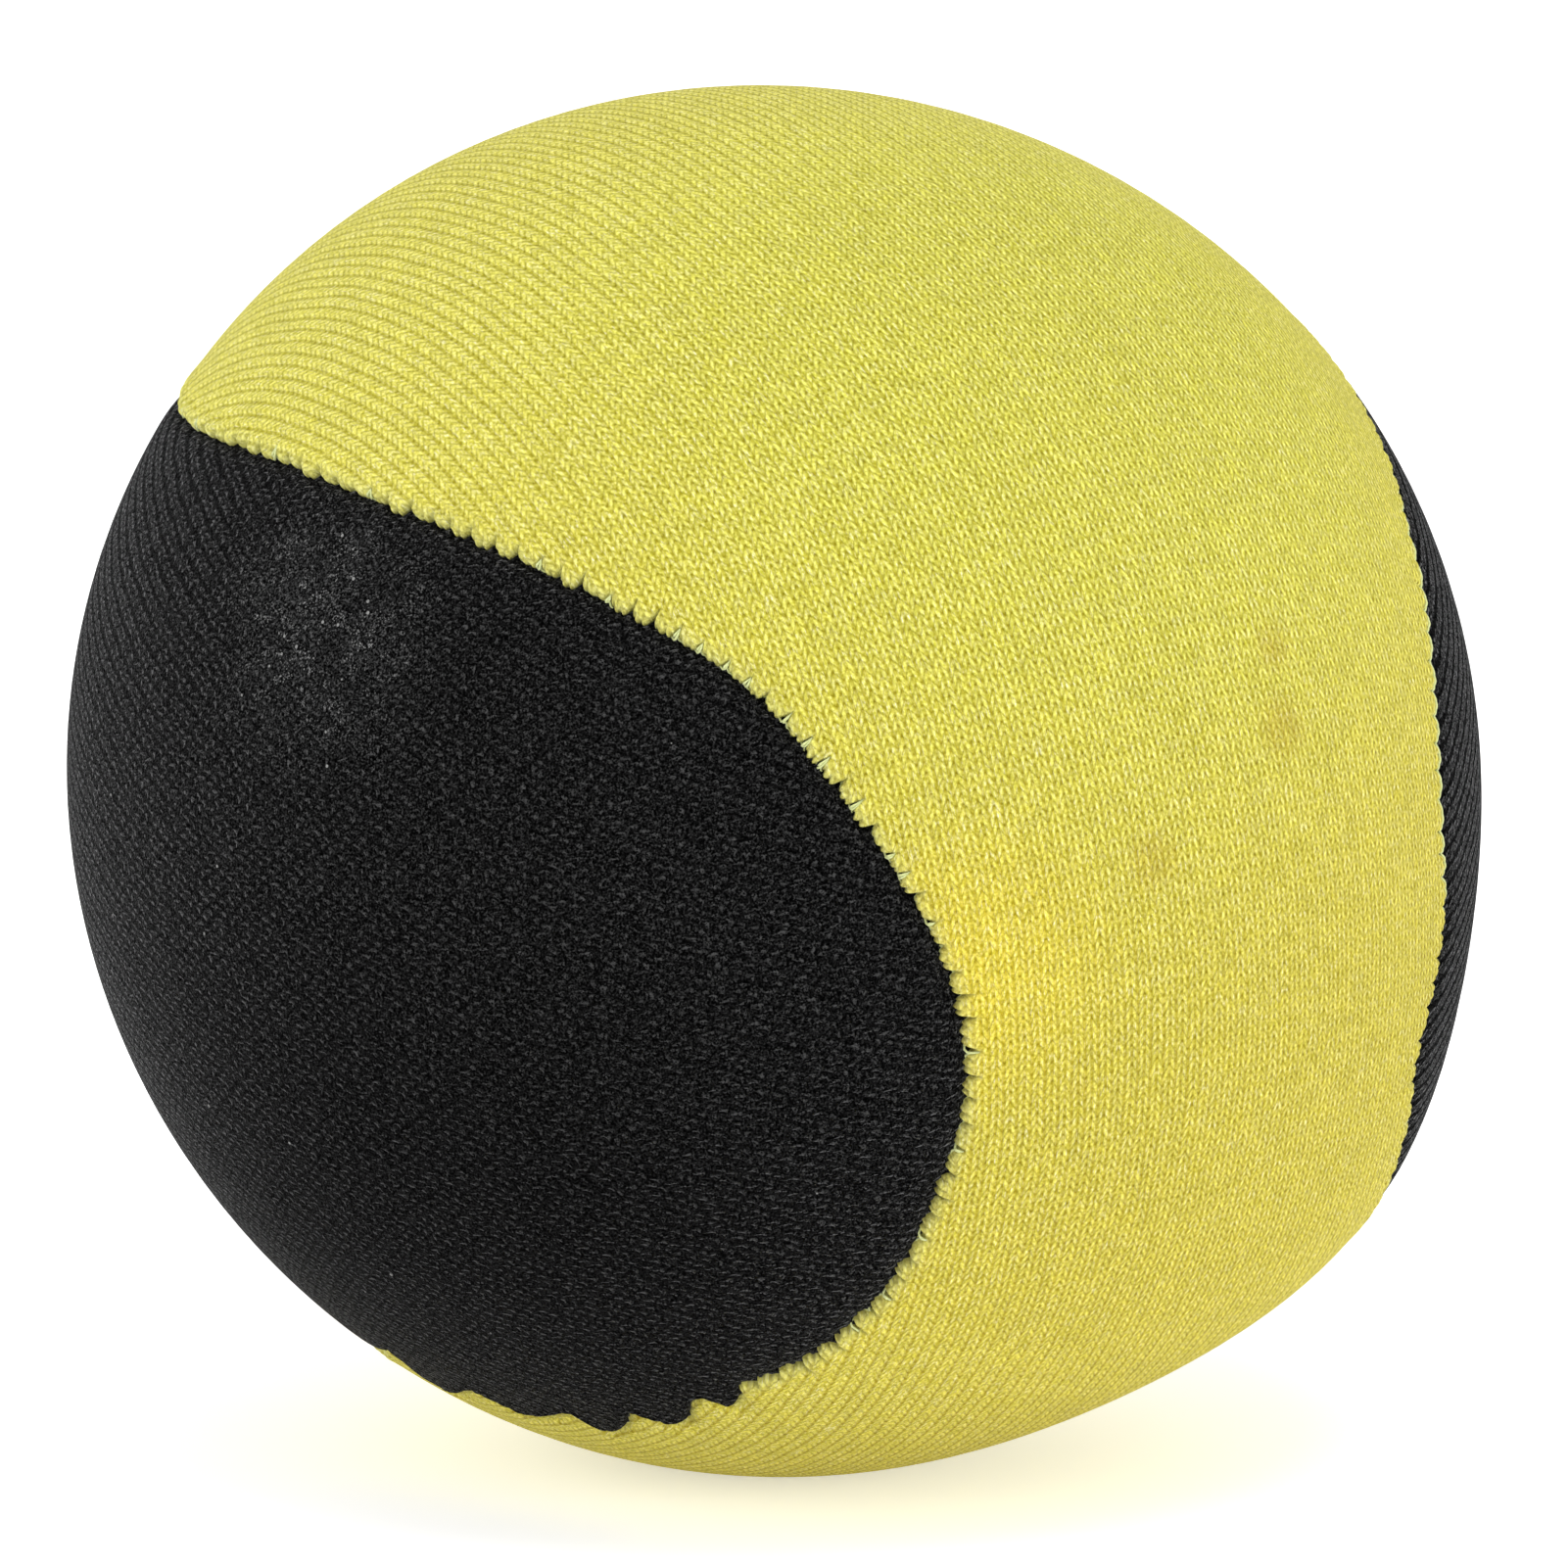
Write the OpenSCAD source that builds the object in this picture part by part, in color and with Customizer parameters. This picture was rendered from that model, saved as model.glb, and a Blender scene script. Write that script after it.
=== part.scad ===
// Gel play ball in a stretched two-panel knitted cover.
//
// The cover is cut like a tennis ball's: two alike dumbbell panels, each with
// a narrow waist that seats between the round lobes of the other. Their edges
// turn in along one closed wavy seam and press a channel into the gel. An
// overlock seam joins them: its needle thread shows as short rungs in the seam
// groove, and its looper thread binds the raw edges inside. The seam leaves an
// opening for the gel core, which a hand-worked thread then closes.
//
// +Z is up and the ball rests on the plane z = 0, on a flat of its own weight.

/* [Ball] */
// Mean diameter of the ball over its cover
ball_d = 56; // [40:0.5:80]
// Pull of the ball into an oval, as a share of its radius
oval_pull = 0.038; // [0:0.002:0.08]
// Slope of the oval's long axis, seen from the front
oval_slope = 152; // [0:1:180]
// Rise of the blunt corner where the seam is drawn tight, as a share of the radius
corner_rise = 0.048; // [0:0.002:0.08]
// Slope of the line from the centre to that corner, seen from the front
corner_slope = 324; // [0:1:360]
// Half-width of the corner, in degrees of the ball
corner_width = 20; // [10:1:40]
// Flattening of the whole side round the corner, as a share of the radius
side_draw = 0.047; // [0:0.002:0.08]
// Half-width of the flattened side, in degrees of the ball
side_width = 60; // [40:1:90]
// Backward lean of the plane that holds the oval and the corner
lean = 10; // [0:1:30]
// Depth of the flat that the ball settles to where it rests
foot_depth = 0.5; // [0:0.1:2]
// Shift of the ball's centre to the right, which centres its box on the origin
centre_x = 0.43; // [-2:0.01:2]

/* [Seam] */
// Share of the third wave in the seam line: more of it narrows the waists
waist_wave = 0.27; // [0.15:0.01:0.4]
// Extra stretch of the seam line along its own Y
seam_stretch = 0.25; // [0:0.01:0.4]
// Slip of the seam line off its even place, as shares of the radius
seam_slip = [-0.05, 0.11, 0.12]; // [-0.2:0.01:0.2]
// Turns about X, Y and Z that lay the cover on the ball
cover_turn = [-104, -38, -128]; // [-180:1:180]
// Depth of the groove that the seam pulls in the cover
groove_depth = 0.35; // [0:0.05:0.6]

/* [Cloth] */
// Thickness of the knitted jersey
cloth_t = 0.6; // [0.4:0.1:1]
// Width of the edges turned in along the seam
allowance = 3.1; // [2:0.1:5]

/* [Threads] */
// Thickness of the needle thread, which shows in the seam groove
needle_d = 0.24; // [0.15:0.01:0.35]
// Sideways swing of its rungs either side of the seam line
needle_swing = 0.25; // [0.1:0.01:0.4]
// Thickness of the looper thread round the raw edges
looper_d = 0.2; // [0.15:0.01:0.3]
// How far down the turned-in edges the looper thread starts
looper_top = 1.5; // [1:0.1:2.5]
// Thickness of the hand-worked closing thread
closing_d = 0.32; // [0.2:0.01:0.4]
// Sideways swing of the closing stitches
closing_swing = 0.35; // [0.1:0.01:0.5]
// First and last angle of the filling opening along the seam line
opening = [58.5, 99]; // [0:4.5:360]

/* [Hidden] */

YELLOW = "#dbd261";
BLACK = "#232322";
GEL = "#bfe3e0";
THREAD = "#cdd58f";

STEPS = 80;            // points round the seam, a multiple of 4
OUTER_BANDS = 5;       // bands of facets from a panel's middle line to its edge, outside
INNER_BANDS = 3;       // the same, inside
SPINE_SPAN = 56;       // seam angle that a panel's middle line covers, each way from the waist
LOBE_AT = 45;          // seam angle at the ends of the lobes
THREAD_SIDES = 5;      // sides of a thread's section
SPINE_GAP = 0.12;      // share of the way out at which a panel's first ring stands
ROOM = 0.1;            // slack between the looper thread and the gel

channel_w = cloth_t + looper_d + ROOM;      // half-width of the channel in the gel
channel_depth = allowance + looper_d + ROOM;
stitch = 360 / STEPS;                       // seam angle that one machine stitch takes

ball_r = ball_d / 2;
level = 0.988;         // evens out the oval, so that the mean diameter stays ball_d
first_wave = 1 - waist_wave;
side_wave = 2 * sqrt(first_wave * waist_wave);

// ---- vectors -------------------------------------------------------------

function unit(v) = v / norm(v);
function reversed(list) = [for (i = [len(list) - 1 : -1 : 0]) list[i]];
function turn_x(v, a) = [v.x, v.y * cos(a) - v.z * sin(a), v.y * sin(a) + v.z * cos(a)];
function turn_y(v, a) = [v.x * cos(a) + v.z * sin(a), v.y, v.z * cos(a) - v.x * sin(a)];
function turn_z(v, a) = [v.x * cos(a) - v.y * sin(a), v.x * sin(a) + v.y * cos(a), v.z];
function turned(v, a) = turn_z(turn_y(turn_x(v, a.x), a.y), a.z);
function angle_between(a, b) = acos(max(-1, min(1, a * b)));

// A direction part of the way along the great circle from a to b.
function between(a, b, share) =
    let (whole = angle_between(a, b))
    unit(a * sin((1 - share) * whole) + b * sin(share * whole));

// ---- the ball's surface ----------------------------------------------------

// A direction in the leaning plane, at a slope seen from the front.
function sloped(a) = [cos(a), sin(a) * sin(lean), sin(a) * cos(lean)];
function bell(a, width) = exp(-pow(a / width, 2));

// Radius of the free ball along the direction n.
function free_r(n) =
    let (
        along = n * sloped(oval_slope),
        off = angle_between(n, sloped(corner_slope))
    )
    ball_r * level * (1 + oval_pull * along * along
        + corner_rise * bell(off, corner_width) - side_draw * bell(off, side_width));

// Height of the ball's centre over the surface that it rests on.
centre_h = free_r([0, 0, -1]) - foot_depth;

// Point under the direction n, a depth below the cover's outer face.
// Where the ball rests, every layer is flat.
function at(n, depth = 0) =
    let (free = free_r(n) - depth)
    [centre_x, 0, centre_h]
        + n * (n.z < -0.5 ? min(free, (centre_h - depth) / -n.z) : free);

// ---- the seam line ---------------------------------------------------------

// The even seam line on a unit ball, before it slips and stretches.
function even_seam(a) = [
    first_wave * cos(a) + waist_wave * cos(3 * a),
    first_wave * sin(a) - waist_wave * sin(3 * a),
    side_wave * sin(2 * a)
];
// Lays a point of the even cover on the ball, as a direction.
function laid(p) = unit(turned([p.x, p.y * (1 + seam_stretch), p.z] + seam_slip, cover_turn));
function seam(a) = laid(even_seam(a));

// Direction beside the seam line, a distance out on the side of panel s:
// +1 is the yellow panel, -1 the black one.
function beside(a, s, distance) =
    let (
        here = seam(a),
        ahead = unit(seam(a + 0.5) - seam(a - 0.5)),
        out = unit(cross(here, ahead)) * s,
        span = distance / ball_r * 180 / PI
    )
    unit(here * cos(span) + out * sin(span));

// Point of panel s's middle line that stands across from seam angle a: half-way
// between two seam points that face each other over the panel.
function spine(a, s) =
    let (
        end = -s * LOBE_AT,
        apart = 90 - SPINE_SPAN * cos(a - end)
    )
    unit(seam(end + apart) + seam(end - apart));

// ---- rings of points and the faces between them ------------------------------

seam_angles = [for (j = [0 : STEPS - 1]) 360 * j / STEPS - LOBE_AT];

// Ring of panel s, a share of the way from its middle line to its edge strip.
function field_ring(s, share, strip, depth) =
    [for (a = seam_angles) at(between(spine(a, s), beside(a, s, strip), share), depth)];
function edge_ring(s, distance, depth) = [for (a = seam_angles) at(beside(a, s, distance), depth)];

// How far along the way from a panel's middle line to its edge each ring lies.
// The first ring stands a little off the middle line.
function shares(bands) = [for (i = [0 : bands]) SPINE_GAP + (1 - SPINE_GAP) * i / bands];

// Faces over a run of rings. The first and last rings are long and thin, so each
// is closed by a strip across it, from the point at its tip index onwards.
function ring_faces(count, first_tip, last_tip, flip = false) =
    let (
        last = count - 1,
        id = function (i, j) i * STEPS + (j + STEPS) % STEPS,
        wall = [for (i = [0 : last - 1], j = [0 : STEPS - 1])
            let (a = id(i, j), b = id(i, j + 1), c = id(i + 1, j + 1), d = id(i + 1, j))
            each [[a, b, c], [a, c, d]]],
        strip = function (i, tip) [for (k = [0 : STEPS / 2 - 1])
            let (
                a = id(i, tip + k), b = id(i, tip + k + 1),
                c = id(i, tip - k - 1), d = id(i, tip - k)
            )
            each [if (a != d) [a, d, c], if (b != c) [a, c, b]]],
        across = strip(last, last_tip)
    )
    [for (f = concat(wall, strip(0, first_tip), [for (g = across) [g[0], g[2], g[1]]]))
        flip ? [f[2], f[1], f[0]] : f];
function tip_of(s) = s > 0 ? 0 : STEPS / 4;
function ring_points(rings) = [for (ring = rings) each ring];

// ---- the pieces --------------------------------------------------------------

// One knitted panel: its field, a rounded shoulder into the seam groove, the
// turned-in edge that stands inwards along the seam, and the inside of the field.
module panel(s) {
    outside = [for (share = shares(OUTER_BANDS)) field_ring(s, share, cloth_t, 0)];
    edge = [
        edge_ring(s, cloth_t / 2, groove_depth / 4),
        edge_ring(s, 0, groove_depth),
        edge_ring(s, 0, allowance),
        edge_ring(s, cloth_t, allowance),
        edge_ring(s, cloth_t, cloth_t)
    ];
    inside = [for (share = reversed(shares(INNER_BANDS))) field_ring(s, share, channel_w, cloth_t)];
    rings = concat(outside, edge, inside);
    polyhedron(
        points = ring_points(rings),
        faces = ring_faces(len(rings), tip_of(s), tip_of(s), flip = s < 0),
        convexity = 6
    );
}

// Ways along a path at each of its points, half-way between the stretches that
// meet there.
function headings(path) =
    let (
        last = len(path) - 1,
        runs = [for (i = [0 : last - 1]) unit(path[i + 1] - path[i])]
    )
    [for (i = [0 : last]) unit(runs[max(i - 1, 0)] + runs[min(i, last - 1)])];

// A thread of diameter d along a path. Its rings of points stand square to the
// path, and each is carried on from the one before with no twist.
module thread(path, d) {
    last = len(path) - 1;
    ways = headings(path);
    function squared(v, way) = unit(v - way * (v * way));
    first_up = squared(path[0] - [centre_x, 0, centre_h], ways[0]);
    ups = [for (i = 0, up = first_up; i <= last; i = i + 1, up = squared(up, ways[min(i, last)])) up];
    rims = [for (i = [0 : last], k = [0 : THREAD_SIDES - 1])
        let (a = 360 * k / THREAD_SIDES)
        path[i] + d / 2 * (ups[i] * cos(a) + cross(ways[i], ups[i]) * sin(a))];
    walls = [for (i = [0 : last - 1], k = [0 : THREAD_SIDES - 1])
        let (
            a = i * THREAD_SIDES + k,
            b = i * THREAD_SIDES + (k + 1) % THREAD_SIDES
        )
        each [[a, b + THREAD_SIDES, b], [a, a + THREAD_SIDES, b + THREAD_SIDES]]];
    start_cap = [for (k = [0 : THREAD_SIDES - 1]) k];
    end_cap = [for (k = [THREAD_SIDES - 1 : -1 : 0]) last * THREAD_SIDES + k];
    polyhedron(points = rims, faces = concat([start_cap], walls, [end_cap]), convexity = 10);
}

// Path of a thread that lies in the seam groove and swings from one panel to
// the other, from seam angle first to last. Three points make a stitch.
function groove_path(first, last, stitches, d, swing) =
    let (count = stitches * 3)
    [for (i = [0 : count])
        at(beside(first + (last - first) * i / count, 1, swing * sin(120 * i)), -d / 3)];

// Path of the thread that binds the raw edges, from seam angle first to last.
// At each stitch it passes over both edges, from one panel's side to the other's.
function looper_path(first, last) =
    let (
        out = cloth_t + looper_d * 0.7,
        under = allowance + looper_d * 0.7
    )
    [for (i = [0 : round((last - first) / stitch)])
        let (a = first + i * stitch, s = i % 2 == 0 ? 1 : -1)
        each [
            at(beside(a, s, out), looper_top),
            at(beside(a, s, out), under),
            at(beside(a, -s, out), under),
            at(beside(a, -s, out), looper_top)
        ]];

// Soft gel moulding, with the channel that the turned-in edges press into it.
module gel_core() {
    rings = concat(
        [for (share = shares(INNER_BANDS)) field_ring(1, share, channel_w, cloth_t)],
        [edge_ring(1, channel_w, channel_depth)],
        [edge_ring(1, 0, channel_depth)],
        [edge_ring(-1, channel_w, channel_depth)],
        [for (share = reversed(shares(INNER_BANDS))) field_ring(-1, share, channel_w, cloth_t)]
    );
    color(GEL) polyhedron(
        points = ring_points(rings),
        faces = ring_faces(len(rings), tip_of(1), tip_of(-1)),
        convexity = 4
    );
}

module yellow_panel() {
    color(YELLOW) panel(1);
}

module black_panel() {
    color(BLACK) panel(-1);
}

// Needle thread of the overlock seam, from one end of the opening round to the other.
module needle_thread() {
    stitches = round((360 - opening[1] + opening[0]) / stitch);
    color(THREAD)
        thread(groove_path(opening[1], opening[0] + 360, stitches, needle_d, needle_swing), needle_d);
}

// Looper thread of the overlock seam, round the raw edges inside.
module looper_thread() {
    color(THREAD) thread(looper_path(opening[1], opening[0] + 360), looper_d);
}

// Hand-worked thread that closes the filling opening, two stitches to a machine stitch.
module closing_thread() {
    stitches = 2 * round((opening[1] - opening[0]) / stitch) - 1;
    ends = [opening[0] + stitch / 3, opening[1] - stitch / 3];
    color(BLACK) thread(groove_path(ends[0], ends[1], stitches, closing_d, closing_swing), closing_d);
}

gel_core();
yellow_panel();
black_panel();
needle_thread();
looper_thread();
closing_thread();
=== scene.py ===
# %% [markdown]
# # A gel play ball in a two-colour knitted cover
#
# The real thing is a soft ball about 56 mm across: a clear gel filling in a
# stretched cover of knitted cloth. Two panels of the same outline, one yellow
# and one black, meet along one wavy seam, as on a tennis ball. Their edges are
# turned in and overlocked, and a gap left for filling is closed by hand.
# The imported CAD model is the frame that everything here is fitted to.

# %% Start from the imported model
import math

import bpy
import numpy as np
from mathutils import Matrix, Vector


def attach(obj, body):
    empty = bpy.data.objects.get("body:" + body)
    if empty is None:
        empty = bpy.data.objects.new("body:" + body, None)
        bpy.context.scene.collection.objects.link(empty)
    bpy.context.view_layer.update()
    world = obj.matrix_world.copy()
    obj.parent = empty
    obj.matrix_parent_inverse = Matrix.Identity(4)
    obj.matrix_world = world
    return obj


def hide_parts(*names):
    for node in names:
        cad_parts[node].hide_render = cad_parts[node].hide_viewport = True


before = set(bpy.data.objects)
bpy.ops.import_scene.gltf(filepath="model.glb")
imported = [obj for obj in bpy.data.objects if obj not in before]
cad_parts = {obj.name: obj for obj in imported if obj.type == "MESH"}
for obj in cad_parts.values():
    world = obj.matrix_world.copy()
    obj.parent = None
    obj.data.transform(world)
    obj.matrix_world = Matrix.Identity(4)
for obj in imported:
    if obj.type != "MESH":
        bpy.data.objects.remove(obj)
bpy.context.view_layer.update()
MM = 0.001
print("CAD nodes:", sorted(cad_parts))

# %% [markdown]
# ## The shape of the ball
#
# A filled knitted ball is never quite round. It is pulled long along one slope,
# one corner stands out a little, the sides are drawn in, and it settles on a
# small flat. These are the same named values that the CAD source holds, so the
# cover made here lies on the CAD solids without any fitting by eye.

# %% Radius of the ball in every direction
BALL_R = 28 * MM
LEVEL = 0.988
FOOT_DEPTH = 0.5 * MM
CENTRE_X = 0.43 * MM
LEAN = math.radians(10)
OVAL_PULL, OVAL_SLOPE = 0.038, 152
CORNER_RISE, CORNER_SLOPE, CORNER_WIDTH = 0.048, 324, 20
SIDE_DRAW, SIDE_WIDTH = 0.047, 60


def unit(v):
    return v / np.linalg.norm(v, axis=-1, keepdims=True)


def sloped(degrees):
    """A direction in the leaning plane of the oval, at a slope seen from the front."""
    a = math.radians(degrees)
    return np.array([math.cos(a), math.sin(a) * math.sin(LEAN), math.sin(a) * math.cos(LEAN)])


def free_radius(n):
    """Radius of the ball along the directions n, before it settles on its flat."""
    along = n @ sloped(OVAL_SLOPE)
    off = np.degrees(np.arccos(np.clip(n @ sloped(CORNER_SLOPE), -1, 1)))
    corner, drawn = np.exp(-(off / CORNER_WIDTH) ** 2), np.exp(-(off / SIDE_WIDTH) ** 2)
    return BALL_R * LEVEL * (1 + OVAL_PULL * along ** 2 + CORNER_RISE * corner - SIDE_DRAW * drawn)


CENTRE_H = free_radius(np.array([0.0, 0.0, -1.0])) - FOOT_DEPTH
CENTRE = np.array([CENTRE_X, 0, CENTRE_H])


def on_ball(n, depth):
    """Points under the directions n, a depth below the cover's outer face."""
    reach = free_radius(n) - depth
    low = n[..., 2] < -0.5
    flat = (CENTRE_H - depth) / np.where(low, -n[..., 2], 1)
    return CENTRE + n * np.where(low, np.minimum(reach, flat), reach)[..., None]


print(f"centre of the ball {CENTRE_H / MM:.2f} mm over the floor")

# %% [markdown]
# ## The seam line
#
# The seam of a two-panel ball is one closed wave that crosses the equator four
# times. Here it is a sum of two circles, squeezed and turned to the way this
# cover sits on its ball. Each panel also has a middle line, half-way between
# facing points of the seam.

# %% The wavy seam and the middle lines of the panels
WAIST_WAVE = 0.27
SEAM_STRETCH = 0.25
SEAM_SLIP = np.array([-0.05, 0.11, 0.12])
COVER_TURN = np.radians([-104, -38, -128])
LOBE_AT = 45
SPINE_SPAN = 56
YELLOW_SIDE, BLACK_SIDE = 1, -1
PER_DEGREE = 20


def turn(points, angles, back=False):
    """Turn points about X, then Y, then Z, or undo that turn."""
    for axis in ((2, 1, 0) if back else (0, 1, 2)):
        i, j = (axis + 1) % 3, (axis + 2) % 3
        a = -angles[axis] if back else angles[axis]
        done = points.copy()
        done[..., i] = points[..., i] * math.cos(a) - points[..., j] * math.sin(a)
        done[..., j] = points[..., i] * math.sin(a) + points[..., j] * math.cos(a)
        points = done
    return points


def seam(degrees):
    """Directions of the seam line at seam angles given in degrees."""
    a = np.radians(degrees)
    first, second = 1 - WAIST_WAVE, WAIST_WAVE
    even = np.stack([
        first * np.cos(a) + second * np.cos(3 * a),
        (first * np.sin(a) - second * np.sin(3 * a)) * (1 + SEAM_STRETCH),
        2 * math.sqrt(first * second) * np.sin(2 * a),
    ], axis=-1)
    return unit(turn(even + SEAM_SLIP, COVER_TURN))


def across_seam(degrees, distance):
    """Directions a signed distance from the seam line, positive into the yellow panel."""
    here = seam(degrees)
    ahead = unit(seam(degrees + 0.5) - seam(degrees - 0.5))
    out = unit(np.cross(here, ahead))
    span = (distance / BALL_R)[..., None]
    return unit(here * np.cos(span) + out * np.sin(span))


def middle_line(degrees, side):
    """Directions of a panel's middle line, across from the given seam angles."""
    end = -side * LOBE_AT
    apart = 90 - SPINE_SPAN * np.cos(np.radians(degrees - end))
    return unit(seam(end + apart) + seam(end - apart))


fine_angles = np.arange(360 * PER_DEGREE) / PER_DEGREE
fine_seam = on_ball(seam(fine_angles), 0)
steps_along = np.linalg.norm(np.roll(fine_seam, -1, axis=0) - fine_seam, axis=1)
run_of_seam = np.concatenate([[0], np.cumsum(steps_along)])
SEAM_LENGTH = run_of_seam[-1]
print(f"seam line {SEAM_LENGTH / MM:.0f} mm long")

# %% [markdown]
# ## What the sewing does to the edge
#
# Sewing gathers a knitted edge into small rounded scallops, one to a stitch or
# two, and pulls the cloth down between them. Here and there the filling has
# drawn the seam off its even line. Where the filling gap was closed by hand the
# black cloth laps over the yellow in a few bigger teeth. Both panels share the
# moved line, so they always meet without crossing.

# %% Pulls, scallops and teeth along the seam
SCALLOP = 1.05 * MM
OPENING = (58.5, 99)
# seam angle, half-width of the place in degrees, move towards the yellow in mm
PULLS = [
    (16, 6, 0.45), (39, 9, 0.85), (55, 6, 0.5), (62.5, 5, 0.55), (81.5, 8, 0.6), (95, 1, -1.1),
    (100.5, 3.6, 2.6), (219, 2.5, 0.5), (226.5, 4, -0.85), (238, 9, 1.05), (247.5, 2.5, 0.4),
    (348, 4.5, 0.25),
]
# seam angles where each tooth starts, is fullest and ends, its size in mm, its end's softness in degrees
TEETH = [
    (67.3, 69.2, 69.75, 1.05, 0.08), (70.9, 73.8, 75.1, 1.5, 0.25), (75.8, 79.3, 80.15, 1.75, 0.1),
    (80.6, 86.0, 86.6, 1.25, 0.3), (88.2, 93.2, 93.8, 2.3, 0.14),
]
# the stretch where the black cloth laps over the yellow, and how softly that starts and ends
LAP_FROM, LAP_TO = 67.5, 96
LAP_START, LAP_END = 0.4, 1.2
SCALLOP_REACH = 0.56 * MM
lots = np.random.default_rng(7)
scallop_count = int(SEAM_LENGTH / SCALLOP)
scallop_sizes = lots.uniform(0.55, 1.45, scallop_count + 2)
scallop_lifts = lots.uniform(0.6, 1.3, scallop_count + 2)


def bell(x, middle, half_width, power=2):
    return np.exp(-np.abs((x - middle) / half_width) ** power)


def seam_pull(degrees):
    """How far the seam is drawn towards the yellow panel."""
    a = degrees % 360
    return sum(move * MM * bell(a, middle, width) for middle, width, move in PULLS)


def scallop_number(degrees):
    """How many scallops lie behind each seam angle; they are not all the same width."""
    all_round = np.arange(360 * PER_DEGREE + 1) / PER_DEGREE
    run = np.interp(degrees % 360, all_round, run_of_seam) / SEAM_LENGTH
    turns = 2 * math.pi * run
    uneven = 0.09 * np.sin(61 * turns) + 0.06 * np.sin(97 * turns + 1)
    return run * scallop_count + uneven


def in_opening(degrees):
    """1 where the black cloth laps over, 0 elsewhere, with a soft change between."""
    a = degrees % 360
    return 1 / (1 + np.exp(-(a - LAP_FROM) / LAP_START)) / (1 + np.exp((a - LAP_TO) / LAP_END))


def scallop_wave(degrees):
    """0 in the nick between two scallops, 1 on the crown of each; yarn loops notch the crowns."""
    number = scallop_number(degrees)
    whole = np.abs(np.sin(math.pi * number + 0.35 * np.sin(2 * math.pi * number))) ** 0.7
    loops = np.abs(np.sin(3 * math.pi * number + 0.8)) ** 0.8
    return 0.7 * whole + 0.3 * loops * whole ** 0.4


def crown_push(degrees):
    """How far the edge of the yellow cloth stands out over the seam line."""
    size = scallop_sizes[np.floor(scallop_number(degrees)).astype(int)]
    plain = SCALLOP_REACH * size * (scallop_wave(degrees) - 0.55)
    a = degrees % 360
    # bunched before the opening, drawn flat where the loops of the thread show
    uneven = 1 + 0.3 * bell(a, 61, 4) - 0.6 * bell(a, 238, 18)
    return plain * uneven * (1 - 0.65 * in_opening(degrees))


def tooth_push(degrees):
    """Teeth of black cloth over the yellow in the hand-closed gap: a slow rise, a quick fall."""
    a = degrees % 360
    push = 0
    for start, full, end, size, softness in TEETH:
        rise = np.sin(math.pi / 2 * np.clip((a - start) / (full - start), 0, 1)) ** 1.5
        push = push + size * MM * rise / (1 + np.exp(np.clip((a - end) / softness, -50, 50)))
    return push


def edge_shift(degrees):
    """Where the two cloths meet, as a distance from the even seam line."""
    return seam_pull(degrees) + tooth_push(degrees) - crown_push(degrees)


print(f"{scallop_count} scallops of about {SCALLOP / MM:.2f} mm")

# %% [markdown]
# ## A closed skin from rings of points
#
# A stretched panel has no straight edge to start from, so it is built as rings
# that follow the seam, wide apart in the field and close together at the edge.
# Where a ring has twice the points of its neighbour, three triangles make the
# step. The first and last rings lie along the middle line and are zipped shut.

# %% Faces over a run of rings
def skin_faces(counts, tip_share, flip):
    """Faces that join rings of the given point counts and close both ends."""
    starts = np.concatenate([[0], np.cumsum(counts)])
    faces = []
    for i in range(len(counts) - 1):
        n, m = counts[i], counts[i + 1]
        low, high = starts[i], starts[i + 1]
        if n == m:
            for j in range(n):
                k = (j + 1) % n
                faces.append((low + j, low + k, high + k, high + j))
        elif m == 2 * n:
            for j in range(n):
                a, b = low + j, low + (j + 1) % n
                c, d, e = high + 2 * j, high + 2 * j + 1, high + (2 * j + 2) % m
                faces += [(a, d, c), (a, b, d), (b, e, d)]
        else:
            for j in range(m):
                a, b, c = low + 2 * j, low + 2 * j + 1, low + (2 * j + 2) % n
                d, e = high + j, high + (j + 1) % m
                faces += [(a, b, d), (b, e, d), (b, c, e)]
    for i, inward in ((0, False), (len(counts) - 1, True)):
        n, low = counts[i], starts[i]
        tip = int(n * tip_share)
        for k in range(n // 2):
            a, b = low + (tip + k) % n, low + (tip + k + 1) % n
            c, d = low + (tip - k - 1) % n, low + (tip - k) % n
            ring = [a] + ([d] if d != a else []) + ([c] if c != b else []) + [b]
            faces.append(tuple(ring[::-1] if inward else ring))
    return [f[::-1] for f in faces] if flip else faces


def new_piece(name, points, faces):
    """A smooth-shaded object made of these points and faces."""
    mesh = bpy.data.meshes.new(name)
    mesh.from_pydata(np.asarray(points).tolist(), [], faces)
    mesh.update()
    piece = bpy.data.objects.new(name, mesh)
    bpy.context.scene.collection.objects.link(piece)
    mesh.shade_smooth()
    return piece


# %% [markdown]
# ## Where the stitches run
#
# The cloth was cut with its grain along the panel, so its columns of stitches
# (wales) run side by side like the parallels of a globe whose pole lies off the
# panel's side. Each point gets a stitch number across and along, kept in a UV
# map, and the knitted pattern is drawn from that, so it follows the cloth.

# %% Stitch numbers from the globe of each panel
ACROSS = unit(np.array([1.0, -1.0, 0.0]))
UP = np.array([0.0, 0.0, 1.0])
ALONG = unit(np.array([1.0, 1.0, 0.0]))
WALE = 0.58 * MM
COURSE = 0.435 * MM
STRAND = 0.381 * MM
BEAD = 0.525 * MM
# the poles of the two globes; the yellow wales are spread out towards the sides of the globe
YELLOW_POLE = unit(ALONG - 0.071 * ACROSS - 0.149 * UP)
BLACK_POLE = unit(ACROSS - 0.05 * ALONG + 0.228 * UP)
EVEN_SPACING = 0.4
SQUARE_AT = math.radians(75)
# the black wales lean over past this angle along the panel, by a share of the further angle
FAR_END_LEAN = 0.235
LEAN_FROM, LEAN_SOFT = 4.5, 0.25


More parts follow.
